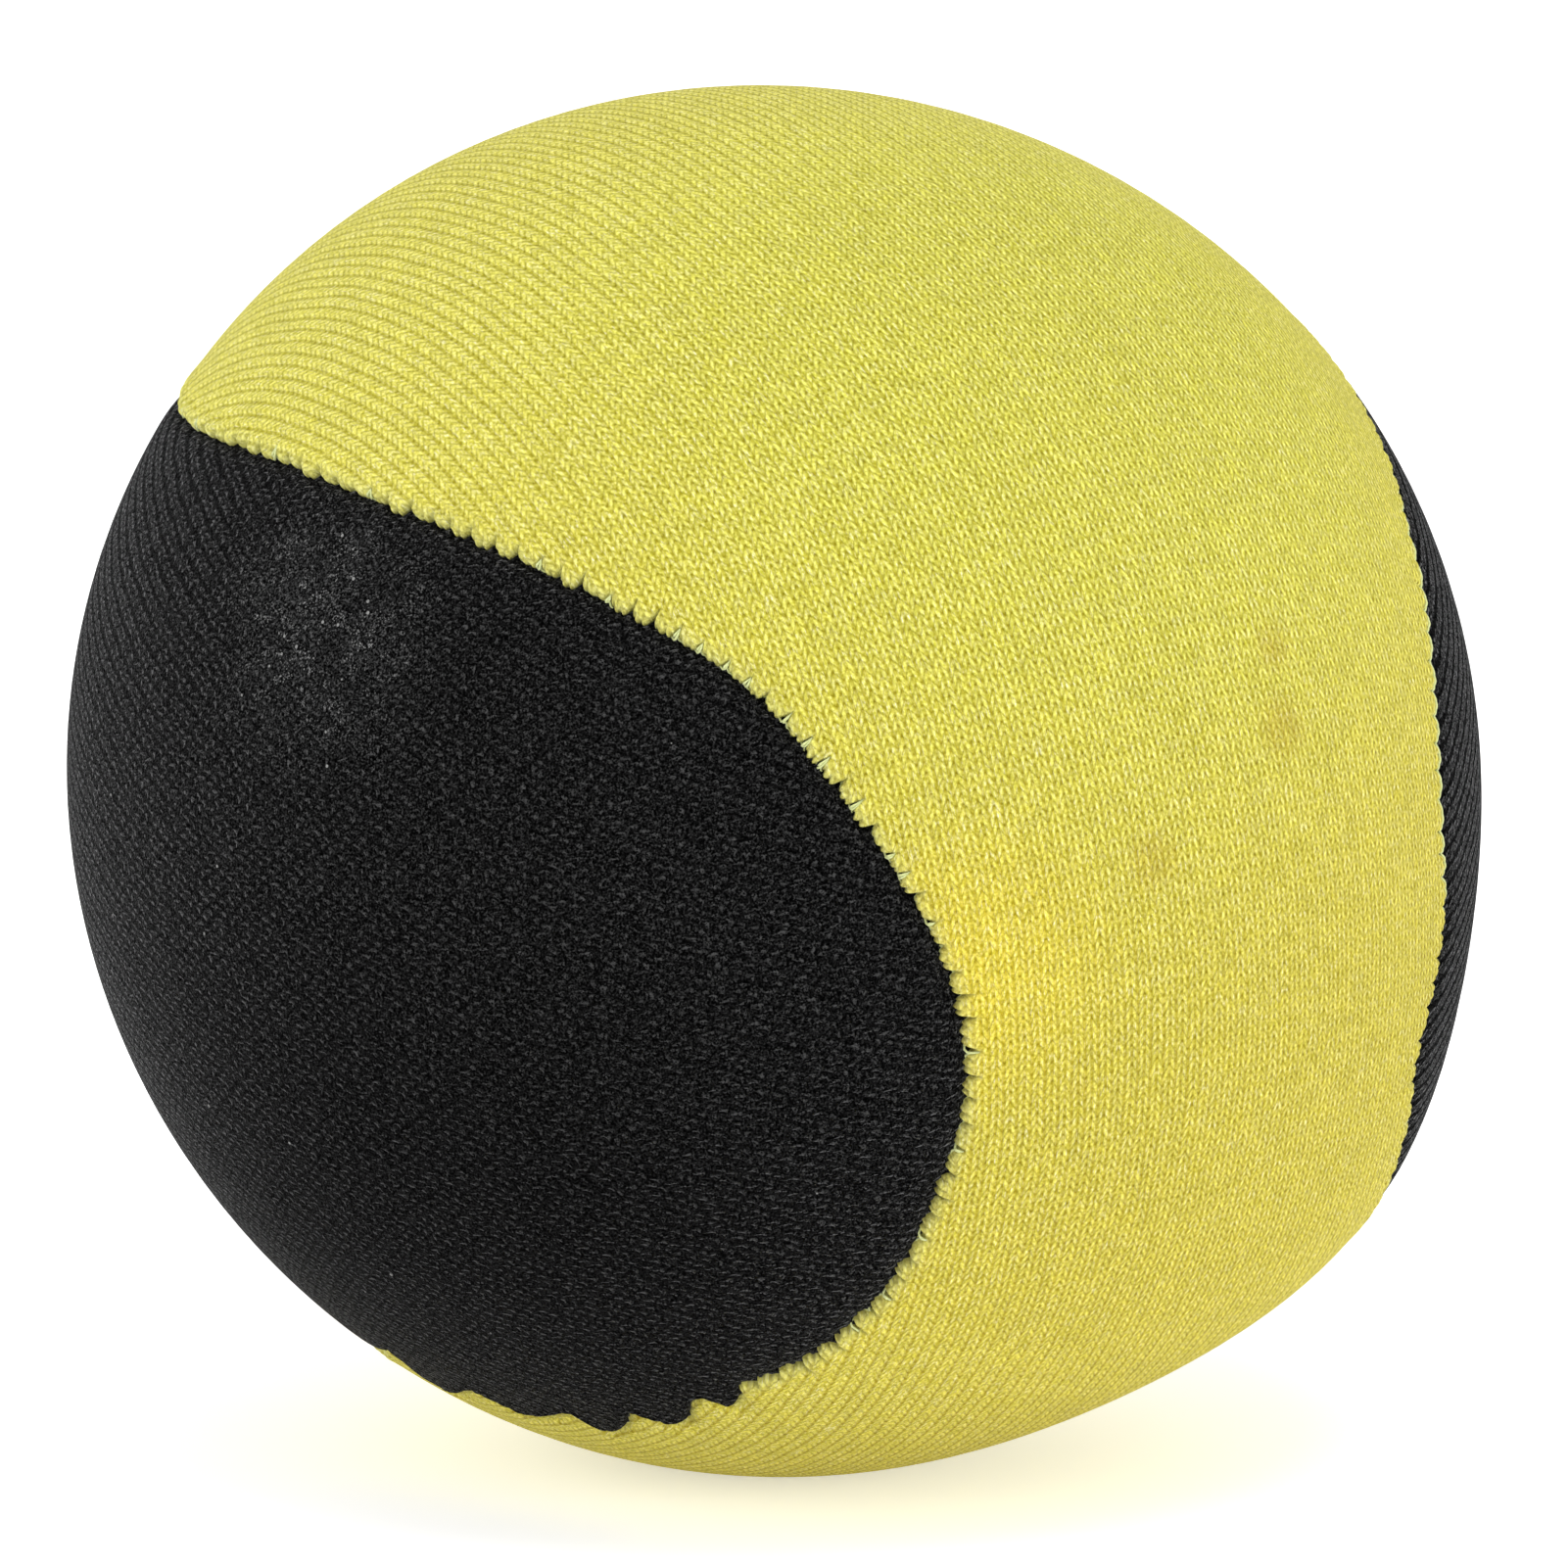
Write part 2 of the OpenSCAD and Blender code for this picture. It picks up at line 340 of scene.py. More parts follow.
def stitch_numbers(n, side):
    """Stitch numbers across and along the panel, for directions n."""
    q = turn(n, COVER_TURN, back=True)
    pole, ahead = (YELLOW_POLE, ACROSS) if side == YELLOW_SIDE else (BLACK_POLE, ALONG)
    ahead = unit(ahead - pole * (pole @ ahead))
    top = unit(UP - pole * (pole @ UP) - ahead * (ahead @ UP))
    across = np.arcsin(np.clip(q @ pole, -1, 1))
    along = np.arctan2(q @ ahead, q @ top)
    if side == YELLOW_SIDE:
        along = SQUARE_AT + (along - SQUARE_AT) * np.cos(across) ** EVEN_SPACING
        return np.stack([across * BALL_R / WALE, along * BALL_R / COURSE], axis=-1)
    along = along % (2 * math.pi)
    past = LEAN_SOFT * np.log1p(np.exp((along - LEAN_FROM) / LEAN_SOFT))
    across = across + FAR_END_LEAN * past
    return np.stack([across * BALL_R / STRAND, -along * BALL_R / BEAD], axis=-1)


# %% [markdown]
# ## The two knitted panels
#
# Each panel is the cloth in its stretched state: the field, a rounded roll into
# the seam, the turned-in edge, and the inside. The yellow edge rolls over the
# black one all round, apart from the hand-closed gap, where it is the other way.
# Cloth simulation would only relax what the filling holds tight, so the sheet is
# laid on the ball directly.

# %% Lay a panel on the ball
CLOTH_T = 0.6 * MM
ALLOWANCE = 3.1 * MM
CHANNEL_W = 0.9 * MM
EDGE_POINTS = 3840
# rings nearer the seam than these distances in mm hold all the edge's points, or half of them
ALL_POINTS, HALF_POINTS = 1.6, 3
FIELD_POINTS = 480
FIELD_RINGS, INSIDE_RINGS = 15, 9
FIRST_RING = 0.05
FIELD_STRIP = 7 * MM
PULL_FADE, CROWN_FADE = 3.4 * MM, 0.6 * MM
NICK_DEPTH, NICK_AT, NICK_WIDTH = 0.16 * MM, 0.1 * MM, 0.7 * MM
# distance from the seam line, depth where this cloth laps over, depth where it is lapped, in mm
ROLL = [
    (5.8, 0, 0), (4.8, 0, 0), (4.0, 0, 0), (3.3, 0, 0), (2.6, 0, 0), (2.1, 0, 0), (1.7, 0, 0),
    (1.35, 0, 0.01), (1.05, -0.01, 0.03), (0.8, -0.03, 0.06), (0.6, -0.05, 0.1),
    (0.44, -0.06, 0.15), (0.31, -0.06, 0.2), (0.2, -0.03, 0.26), (0.11, 0.03, 0.32),
    (0.05, 0.12, 0.38), (0.01, 0.25, 0.45), (0.0, 0.42, 0.55),
]


def edge_ring(side, count, distance, over, under):
    """One ring of points a distance into a panel, with the scallops and teeth."""
    a = 360 * np.arange(count) / count - LOBE_AT
    shift = (seam_pull(a) + tooth_push(a)) * bell(distance, 0, PULL_FADE)
    shift = shift - crown_push(a) * bell(distance, 0, CROWN_FADE)
    lap = in_opening(a)
    over_share = 1 - lap if side == YELLOW_SIDE else lap
    lift = scallop_lifts[np.floor(scallop_number(a)).astype(int)]
    nick = NICK_DEPTH * (1 - scallop_wave(a)) * lift * bell(distance, NICK_AT, NICK_WIDTH)
    depth = over * over_share + under * (1 - over_share) + nick
    n = across_seam(a, side * distance + shift)
    return n, on_ball(n, depth)


def field_ring(side, count, share, strip, depth):
    """One ring a share of the way from a panel's middle line to its edge strip."""
    a = 360 * np.arange(count) / count - LOBE_AT
    first, last = middle_line(a, side), across_seam(a, np.full(count, side * strip))
    whole = np.arccos(np.clip((first * last).sum(1), -1, 1))[:, None]
    n = unit(first * np.sin((1 - share) * whole) + last * np.sin(share * whole))
    return n, on_ball(n, depth)


def deep_ring(side, count, distance, depth):
    """One even ring of the turned-in edge, where no scallop or tooth reaches."""
    a = 360 * np.arange(count) / count - LOBE_AT
    n = across_seam(a, np.full(count, side * distance))
    return n, on_ball(n, depth)


field_points = {}  # how many of each panel's points lie in its field


def knitted_panel(name, side):
    """One panel: field, roll, turned-in edge and inside, with its stitch numbers."""
    shares = np.linspace(FIRST_RING, 1, FIELD_RINGS)
    rings = [field_ring(side, FIELD_POINTS, share, FIELD_STRIP, 0) for share in shares]
    for distance, over, under in ROLL:
        step = 1 if distance < ALL_POINTS else 2 if distance < HALF_POINTS else 4
        rings.append(edge_ring(side, EDGE_POINTS // step, distance * MM, over * MM, under * MM))
    rings.append(deep_ring(side, EDGE_POINTS // 2, 0.01 * MM, 0.9 * MM))
    edge = ((0, 1.5 * MM), (0, ALLOWANCE), (CLOTH_T, ALLOWANCE), (CLOTH_T, CLOTH_T))
    rings += [deep_ring(side, EDGE_POINTS // 4, distance, depth) for distance, depth in edge]
    shares = np.linspace(1, FIRST_RING, INSIDE_RINGS)
    rings += [field_ring(side, FIELD_POINTS, share, CHANNEL_W, CLOTH_T) for share in shares]
    counts = [len(points) for _, points in rings]
    tip_share = 0 if side == YELLOW_SIDE else 0.25
    piece = new_piece(name, np.concatenate([p for _, p in rings]),
                      skin_faces(counts, tip_share, flip=side == YELLOW_SIDE))
    numbers = stitch_numbers(np.concatenate([n for n, _ in rings]), side)
    corners = np.empty(len(piece.data.loops), dtype=np.int32)
    piece.data.loops.foreach_get("vertex_index", corners)
    piece.data.uv_layers.new(name="stitches").data.foreach_set("uv", numbers[corners].ravel())
    from_seam = [FIELD_STRIP / MM] * FIELD_RINGS + [distance for distance, _, _ in ROLL]
    from_seam += [0] * (len(rings) - len(from_seam))
    piece.data.attributes.new("mm_from_seam", "FLOAT", "POINT").data.foreach_set(
        "value", np.repeat(from_seam, counts).astype(np.float32))
    outside = sum(counts[:FIELD_RINGS + len(ROLL)])
    area = sum(f.area for f in piece.data.polygons if max(f.vertices) < outside)
    field_points[name] = sum(counts[:FIELD_RINGS])
    print(f"{name}: {sum(len(f.vertices) - 2 for f in piece.data.polygons)} triangles,",
          f"{area / MM ** 2:.0f} mm2 outside")
    return piece


yellow_cloth = knitted_panel("yellow_jersey_panel", YELLOW_SIDE)
black_cloth = knitted_panel("black_jersey_panel", BLACK_SIDE)

# %% [markdown]
# ## Which way the faces point
#
# A hand-made mesh is easily built inside out. The outward share of each face's
# normal says whether the field points away from the middle of the ball.

# %% Check the panels' faces
for piece in (yellow_cloth, black_cloth):
    field = [f for f in piece.data.polygons if max(f.vertices) < field_points[piece.name]]
    inward = sum(f.normal @ (f.center - Vector(CENTRE)) < 0 for f in field)
    stitch = np.array([d.uv[:] for d in piece.data.uv_layers["stitches"].data])
    steps = [np.ptp(stitch[list(f.loop_indices)], axis=0).max() for f in field]
    print(f"{piece.name}: {inward} of {len(field)} field faces point in;",
          f"the widest one spans {max(steps):.1f} stitches")

# %% [markdown]
# ## The seam threads
#
# An overlock seam on a ball like this shows a thin pale thread: it peeps out in
# the nicks between the scallops, and along one side of the ball it stands up as
# a chain of small loops. A thread is a curve with a round section, turned into
# a mesh once it lies right.

# %% Make a thread from a path
def thread_piece(name, path, thickness):
    """A thread of round section along a path, made a mesh."""
    curve = bpy.data.curves.new(name, "CURVE")
    curve.dimensions = "3D"
    curve.bevel_depth = thickness / 2
    curve.bevel_resolution = 1
    curve.use_fill_caps = True
    line = curve.splines.new("POLY")
    line.points.add(len(path) - 1)
    line.points.foreach_set("co", np.c_[path, np.ones(len(path))].ravel())
    piece = bpy.data.objects.new(name, curve)
    bpy.context.scene.collection.objects.link(piece)
    bpy.ops.object.select_all(action="DESELECT")
    piece.select_set(True)
    bpy.context.view_layer.objects.active = piece
    bpy.ops.object.convert(target="MESH")
    bpy.context.object.data.shade_smooth()
    print(f"{name}: {sum(len(f.vertices) - 2 for f in piece.data.polygons)} triangles")
    return bpy.context.object


# %% Pale overlock thread, one loop to a scallop
NEEDLE_D = 0.10 * MM
POINTS_TO_LOOP = 12
# seam angles between which the loops stand up
LOOPS_FROM, LOOPS_TO = 224, 252
# the share of the nicks where the thread peeps out; before the opening, it does so in all
PEEP_SHARE = 0.3
ALL_PEEP_AT, ALL_PEEP_WIDTH = 62, 5

table_angles = np.arange(0, 360.05, 0.05)
table_numbers = np.maximum.accumulate(scallop_number(np.minimum(table_angles, 359.999)))


def angle_of_scallop(number):
    """The seam angle at which so many scallops lie behind."""
    return np.interp(number, table_numbers, table_angles)


first = scallop_number(np.array([OPENING[1]]))[0]
last = scallop_count + scallop_number(np.array([OPENING[0]]))[0]
numbers = np.arange(math.ceil(first) * POINTS_TO_LOOP, math.floor(last) * POINTS_TO_LOOP) / POINTS_TO_LOOP
angles = angle_of_scallop(numbers % scallop_count)
shown = 1 / (1 + np.exp(-(angles - LOOPS_FROM) / 2)) / (1 + np.exp((angles - LOOPS_TO) / 2))
peep_lots = lots.uniform(0, 1, scallop_count + 1)
peeps = peep_lots[np.round(numbers % scallop_count).astype(int)] < PEEP_SHARE
peeps = peeps | (np.abs(angles - ALL_PEEP_AT) < ALL_PEEP_WIDTH)
turns = 2 * math.pi * numbers
loop_angles = angles - np.degrees(0.16 * MM / BALL_R) * np.sin(turns) * (1 - shown)
aside = edge_shift(angles) + MM * (0.02 - 0.02 * shown - 0.06 * np.cos(turns) * (1 - shown))
hidden = np.where(peeps, np.sin(turns / 2) ** 2, 1.0) * (1 - shown)
deep = MM * (0.05 + 0.04 * shown * np.cos(turns) + 0.45 * hidden)
needle_path = on_ball(across_seam(loop_angles, aside), deep)
needle = thread_piece("overlock_thread", needle_path, NEEDLE_D)

# %% Black closing stitches over the hand-closed gap
CLOSING_D = 0.16 * MM
CLOSING_STITCHES = 24
numbers = np.arange(CLOSING_STITCHES * POINTS_TO_LOOP + 1) / POINTS_TO_LOOP
angles = OPENING[0] + 1 + (OPENING[1] - OPENING[0] - 2) * numbers / CLOSING_STITCHES
turns = 2 * math.pi * numbers
aside = edge_shift(angles) + 0.12 * MM * np.sin(turns)
closing_path = on_ball(across_seam(angles, aside), 0.46 * MM - 0.08 * MM * np.cos(2 * turns))
closing = thread_piece("closing_stitches", closing_path, CLOSING_D)

# %% [markdown]
# ## Adding nodes
#
# Every finish below is drawn by nodes. One function adds a node, sets its
# settings and fills or links its inputs; another turns the sRGB colours that
# a paint chart gives into the linear ones that Blender works in. On a Mix node
# set to colours, sockets 6 and 7 are the two colours that it mixes. A stretched
# cover changes from place to place, so a third function fades a value with the
# distance from a spot on the ball.

# %% One function for nodes, one for colours, one for places
def linear(hex_colour):
    """The linear colour of an sRGB hex value such as #d8cc5c."""
    parts = [int(hex_colour[i:i + 2], 16) / 255 for i in (1, 3, 5)]
    return [c / 12.92 if c <= 0.04045 else ((c + 0.055) / 1.055) ** 2.4 for c in parts] + [1]


def add(material, kind, inputs=(), **settings):
    """Add a node, set it up, fill or link its inputs and give its first live output."""
    node = material.node_tree.nodes.new("ShaderNode" + kind)
    for name, value in settings.items():
        setattr(node, name, value)
    for name, value in (inputs.items() if isinstance(inputs, dict) else enumerate(inputs)):
        if isinstance(value, bpy.types.NodeSocket):
            material.node_tree.links.new(value, node.inputs[name])
        else:
            node.inputs[name].default_value = value
    return next(socket for socket in node.outputs if socket.enabled)


def new_finish(name, **values):
    """A material whose shader holds these values, named as its sockets are."""
    material = bpy.data.materials.new(name)
    material.use_nodes = True
    shader = material.node_tree.nodes["Principled BSDF"]
    for socket, value in values.items():
        shader.inputs[socket.replace("_", " ")].default_value = value
    return material, shader


def place_on_ball(x, y, z):
    """A point on the ball, in the direction x, y, z from its centre."""
    return unit(np.array([x, y, z])) * BALL_R


def by_distance(material, from_centre, spot, start, full, low=0.0, high=1.0):
    """A value that goes softly from low to high while the distance to a spot goes from start to full."""
    away = add(material, "VectorMath", [from_centre, spot.tolist()], operation="DISTANCE")
    steps = {"Value": away, "From Min": start, "From Max": full, "To Min": low, "To Max": high}
    return add(material, "MapRange", steps, interpolation_type="SMOOTHSTEP")


def finish_with(material, shader, colour, bump):
    material.node_tree.links.new(colour, shader.inputs["Base Color"])
    material.node_tree.links.new(bump, shader.inputs["Normal"])


# %% [markdown]
# ## Yellow weft-knitted jersey
#
# The yellow cloth is single jersey of textured nylon yarn with some elastane in
# it, knitted on a circular machine and shown on its smooth face: columns of
# small slanting legs that stack like arrowheads, with a furrow between two
# columns darkened by painted shade. Each leg is a bundle of crimped filaments,
# whose fine glints are painted highlights. Stretched, a column is 0.58 mm wide
# and a stitch 0.435 mm long.

# %% The arrowhead stitches of the yellow cloth
yellow_jersey, yellow_shader = new_finish(
    "nylon_jersey_yellow", Roughness=0.62, Sheen_Weight=0.09, Sheen_Roughness=0.35,
    Sheen_Tint=linear("#fff6b0"), Specular_IOR_Level=0.04)
m = yellow_jersey
DRIFT_SIZE, WOBBLE_SIZE = 5 * MM, 0.8 * MM
LEG_SLANT = 2.1
where = add(m, "TexCoord").node.outputs["Object"]
from_centre = add(m, "VectorMath", [where, CENTRE.tolist()], operation="SUBTRACT")
numbers = add(m, "SeparateXYZ", [add(m, "UVMap", uv_map="stitches")])
# the columns and rows wander: slowly over the ball, and quickly from stitch to stitch
slow = add(m, "TexNoise", {"Vector": where, "Scale": 1 / DRIFT_SIZE, "Detail": 2.0})
drift = add(m, "SeparateColor", [slow.node.outputs["Color"]])
quick = add(m, "TexNoise", {"Vector": where, "Scale": 1 / WOBBLE_SIZE, "Detail": 2.0})
wobble = add(m, "SeparateColor", [quick.node.outputs["Color"]])
across = add(m, "Math", [drift, 0.5, numbers], operation="MULTIPLY_ADD")
across = add(m, "Math", [wobble, 0.14, across], operation="MULTIPLY_ADD")
column = add(m, "Math", [across], operation="FLOOR")
column_lot = add(m, "TexWhiteNoise", {"W": column}, noise_dimensions="1D")
rows = numbers.node.outputs[1]
along = add(m, "Math", [drift.node.outputs[1], 1.2, rows], operation="MULTIPLY_ADD")
along = add(m, "Math", [wobble.node.outputs[1], 0.3, along], operation="MULTIPLY_ADD")
along = add(m, "Math", [column_lot, 0.2, along], operation="MULTIPLY_ADD")
# two mirrored legs to a column, each slanting down to the middle of the column
in_column = add(m, "Math", [across], operation="FRACT")
in_column = add(m, "Math", [in_column, 0.5], operation="SUBTRACT")
half = add(m, "Math", [in_column], operation="ABSOLUTE")
right = add(m, "Math", [in_column, 0.0], operation="GREATER_THAN")
leg_run = add(m, "Math", [half, LEG_SLANT, along], operation="MULTIPLY_ADD")
leg = add(m, "Math", [leg_run], operation="FLOOR")
in_leg = add(m, "Math", [leg_run], operation="FRACT")
leg_lot = add(m, "TexWhiteNoise", {"Vector": add(m, "CombineXYZ", [column, leg, right])})
print(f"wales of {WALE / MM:.2f} mm and courses of {COURSE / MM:.2f} mm")

# %% Furrows and hollows between the yellow legs
# where the legs are spread apart, and where the columns split down their middle
SPREAD_SPOT = place_on_ball(0.49, -0.62, 0.61)
SPLIT_SPOT = place_on_ball(0.55, -0.80, 0.23)
half_turn = add(m, "Math", [in_leg, math.pi], operation="MULTIPLY")
roundness = add(m, "Math", [half_turn], operation="SINE")
roundness = add(m, "Math", [roundness, 0.75], operation="POWER")
gap = add(m, "Math", [1.0, roundness], operation="SUBTRACT")
# a furrow between two columns, deepest where two legs meet
between = by_distance(m, from_centre, SPREAD_SPOT, 20 * MM, 8 * MM, 0.9, 0.95)
furrow_edge = {"Value": half, "From Min": 0.28, "From Max": 0.45}
furrow = add(m, "MapRange", furrow_edge, interpolation_type="SMOOTHSTEP")
furrow = add(m, "Math", [furrow, between], operation="MULTIPLY")
notch = add(m, "Math", [gap, 0.45, 0.6], operation="MULTIPLY_ADD")
furrow = add(m, "Math", [furrow, notch], operation="MULTIPLY")
# a finer one down the middle of each column, where the cloth is pulled wide
split = by_distance(m, from_centre, SPLIT_SPOT, 34 * MM, 22 * MM, 0.35)
middle_edge = {"Value": half, "From Min": 0.19, "From Max": 0.04}
middle = add(m, "MapRange", middle_edge, interpolation_type="SMOOTHSTEP")
notch = add(m, "Math", [gap, 0.5, 0.5], operation="MULTIPLY_ADD")
middle = add(m, "Math", [middle, notch], operation="MULTIPLY")
middle = add(m, "Math", [middle, split], operation="MULTIPLY")
hollow = add(m, "Math", [furrow, middle], operation="MAXIMUM")
between_legs = add(m, "Math", [gap, 0.58], operation="MULTIPLY")
hollow = add(m, "Math", [hollow, between_legs], operation="MAXIMUM")
leg_form = add(m, "Math", [1.0, hollow], operation="SUBTRACT")

# %% Filaments, fuzz and height of the yellow stitches
STITCH_HEIGHT = 0.17 * MM
FUZZ_SIZE = 0.12 * MM
# filaments run along a leg, so their noise is squeezed 14 times across it
squeezed = add(m, "Math", [half, 14.0], operation="MULTIPLY")
on_leg = add(m, "CombineXYZ", [squeezed, leg_run, column])
filaments = add(m, "TexNoise", {"Vector": on_leg, "Scale": 1.3, "Detail": 3.0, "Roughness": 0.7})
fuzz = add(m, "TexNoise", {"Vector": where, "Scale": 1 / FUZZ_SIZE, "Detail": 2.0})
height = add(m, "Math", [filaments, 0.5, leg_form], operation="MULTIPLY_ADD")
height = add(m, "Math", [fuzz, 0.3, height], operation="MULTIPLY_ADD")
yellow_bump = add(m, "Bump", {"Strength": 0.9, "Distance": STITCH_HEIGHT, "Height": height})

# %% [markdown]
# The dye takes unevenly and the stretch shows: cool lemon where the cloth lies
# slack near the top, more golden towards the bottom and where the waist pulls
# tight. Play has left a few faint brown marks.

# %% Dye and stretch of the yellow cloth, and the painted shade of its furrows
WARM_END = unit(np.array([0.45, -0.25, -0.85]))
TIGHT_SPOT = place_on_ball(0.27, -0.96, -0.10)
SLACK_SPOT = place_on_ball(0.38, -0.62, 0.68)
towards = add(m, "VectorMath", [from_centre, WARM_END.tolist()], operation="DOT_PRODUCT")
warmth = add(m, "MapRange", {"Value": towards, "From Min": -22 * MM, "From Max": 26 * MM})
tight = by_distance(m, from_centre, TIGHT_SPOT, 7.5 * MM, 1 * MM)
slack = by_distance(m, from_centre, SLACK_SPOT, 26 * MM, 8 * MM)
cool_leg, warm_leg = linear("#f1ea71"), linear("#efe461")
leg_colour = add(m, "Mix", {0: warmth, 6: cool_leg, 7: warm_leg}, data_type="RGBA")
leg_colour = add(m, "Mix", {0: slack, 6: leg_colour, 7: linear("#f3f16e")}, data_type="RGBA")
leg_colour = add(m, "Mix", {0: tight, 6: leg_colour, 7: linear("#fdee62")}, data_type="RGBA")
# painted shade: a darker, more golden colour for the furrows and hollows between the legs, where shade
# falls
cool_painted_shade, warm_painted_shade = linear("#a69c02"), linear("#ab9202")
painted_furrow_shade = add(m, "Mix", {0: warmth, 6: cool_painted_shade, 7: warm_painted_shade}, data_type="RGBA")
painted_furrow_shade = add(m, "Mix", {0: tight, 6: painted_furrow_shade, 7: linear("#c2a80a")}, data_type="RGBA")
# painted shade: the colour goes from the legs' colour to the painted furrow shade where the legs fall
# away
colour = add(m, "Mix", {0: leg_form, 6: painted_furrow_shade, 7: leg_colour}, data_type="RGBA")

# %% Painted glints, painted fibre shade and highlight, and marks on the yellow cloth
# painted shade on the fibres deep in the yarn and painted highlight on those on top, as factors on its
# red, green and blue
PAINTED_SHADE_BELOW = (0.7, 0.68, 0.32, 1)
PAINTED_LIGHT_ON_TOP = (1.14, 1.15, 1.42, 1)
MARK_GRAIN = 0.9 * MM
# direction of each mark from the centre, and its size in mm
MARKS = [
    ((0.68, -0.66, 0.32), 1.3), ((0.69, -0.69, 0.21), 1.6),
    ((0.51, -0.86, 0.05), 1.5), ((0.41, -0.87, -0.27), 0.9),
]
# painted highlight: pale glints on the filaments of the raised legs
painted_glint = add(m, "MapRange", {"Value": filaments, "From Min": 0.545, "From Max": 0.7})
painted_glint = add(m, "Math", [painted_glint, leg_form], operation="MULTIPLY")
colour = add(m, "Mix", {0: painted_glint, 6: colour, 7: linear("#fffce0")}, data_type="RGBA")
lot_tone = add(m, "MapRange", {"Value": leg_lot, "To Min": 0.9, "To Max": 1.06})
colour = add(m, "VectorMath", {0: colour, "Scale": lot_tone}, operation="SCALE")
# painted shade and highlight: the colour is darkened and warmed where the fuzz lies low and whitened
# where it stands up
fuzz_share = add(m, "MapRange", {"Value": fuzz, "From Min": 0.32, "From Max": 0.68})
fuzz_shade_and_light = add(m, "Mix", {0: fuzz_share, 6: PAINTED_SHADE_BELOW, 7: PAINTED_LIGHT_ON_TOP}, data_type="RGBA")
colour = add(m, "VectorMath", [colour, fuzz_shade_and_light], operation="MULTIPLY")
# the pale thread wraps the very edge
edge_way = add(m, "Attribute", attribute_name="mm_from_seam").node.outputs["Fac"]
wrapped = add(m, "MapRange", {"Value": edge_way, "From Min": 0.5, "From Max": 0.05, "To Max": 0.7})
wrapped = add(m, "Math", [wrapped, fuzz], operation="MULTIPLY")
colour = add(m, "Mix", {0: wrapped, 6: colour, 7: linear("#dfe29a")}, data_type="RGBA")
mark_noise = add(m, "TexNoise", {"Vector": where, "Scale": 1 / MARK_GRAIN, "Detail": 3.0})
for direction, size in MARKS:
    spot = place_on_ball(*direction).tolist()
    away = add(m, "VectorMath", [from_centre, spot], operation="DISTANCE")
    reach = {"Value": away, "From Min": size * MM, "From Max": 0.2 * size * MM, "To Max": 0.7}
    stain = add(m, "Math", [add(m, "MapRange", reach), mark_noise], operation="MULTIPLY")
    colour = add(m, "Mix", {0: stain, 6: colour, 7: linear("#a9862c")}, data_type="RGBA")
finish_with(m, yellow_shader, colour, yellow_bump)
print(m.name, "has", len(m.node_tree.nodes), "nodes")

# %% [markdown]
# ## Black weft-knitted jersey
#
# The black cloth is the same kind of jersey, pulled wider: a column of two
# strands is 0.76 mm wide and a stitch 0.525 mm long. One strand of each column
# shows short upright beads, the other slanting ones, a part step apart. Black
# yarn hides its shape, so the lit backs of the beads and glints of single
# filaments are painted on as highlights, with painted shade in the hollows and
# rib gaps, and there is dust where hands rub the cloth.

# %% The beaded strands of the black cloth
black_jersey, black_shader = new_finish(
    "nylon_jersey_black", Roughness=0.6, Sheen_Roughness=0.3, Sheen_Tint=linear("#c8c8ca"))
STRAND_SHIFT = 0.428
BLACK_DRIFT_SIZE = 1.4 * MM
BEAD_HALF_LENGTH, BEAD_HALF_WIDTH = 0.41, 0.25
m = black_jersey
where = add(m, "TexCoord").node.outputs["Object"]
from_centre = add(m, "VectorMath", [where, CENTRE.tolist()], operation="SUBTRACT")
numbers = add(m, "SeparateXYZ", [add(m, "UVMap", uv_map="stitches")])
slow = {"Vector": where, "Scale": 1 / BLACK_DRIFT_SIZE, "Detail": 4.0, "Roughness": 0.62}
drift = add(m, "SeparateColor", [add(m, "TexNoise", slow).node.outputs["Color"]])
strand_run = add(m, "Math", [drift, 1.2, numbers], operation="MULTIPLY_ADD")
bead_run = add(m, "Math", [numbers, STRAND_SHIFT, drift.node.outputs[1]], operation="MULTIPLY_ADD")
bead_run = add(m, "Math", [bead_run, numbers.node.outputs[1]], operation="SUBTRACT")
strand = add(m, "Math", [strand_run], operation="FLOOR")
bead = add(m, "Math", [bead_run], operation="FLOOR")
slanting = add(m, "Math", [strand, 2.0], operation="FLOORED_MODULO")
bead_noise = add(m, "TexWhiteNoise", {"Vector": add(m, "CombineXYZ", [strand, bead, 0.0])})
lots_of_bead = add(m, "SeparateColor", [bead_noise.node.outputs["Color"]])
# where a point lies in its bead, which is nudged, leant and bent a little by its lot
nudge_steps = {"Value": lots_of_bead.node.outputs[2], "To Min": -0.14, "To Max": 0.14}
nudge = add(m, "MapRange", nudge_steps)
in_strand = add(m, "Math", [strand_run], operation="FRACT")
in_strand = add(m, "Math", [in_strand, 0.5], operation="SUBTRACT")
in_strand = add(m, "Math", [in_strand, nudge], operation="ADD")
in_bead = add(m, "Math", [bead_run], operation="FRACT")
in_bead = add(m, "Math", [in_bead, 0.5], operation="SUBTRACT")
in_bead = add(m, "Math", [in_bead, nudge], operation="SUBTRACT")
lean_steps = {"Value": lots_of_bead.node.outputs[1], "To Min": -1.1, "To Max": 0.3}
lean = add(m, "MapRange", lean_steps)
lean = add(m, "Math", [slanting, 0.7, lean], operation="MULTIPLY_ADD")
tilted = add(m, "Math", [in_bead, lean, in_strand], operation="MULTIPLY_ADD")
arc = add(m, "Math", [in_bead, in_bead], operation="MULTIPLY")
bent = add(m, "Math", [arc, 1.8, tilted], operation="MULTIPLY_ADD")
length_part = add(m, "Math", [in_bead, BEAD_HALF_LENGTH], operation="DIVIDE")
length_part = add(m, "Math", [length_part, 2.0], operation="POWER")
width_part = add(m, "Math", [bent, BEAD_HALF_WIDTH], operation="DIVIDE")
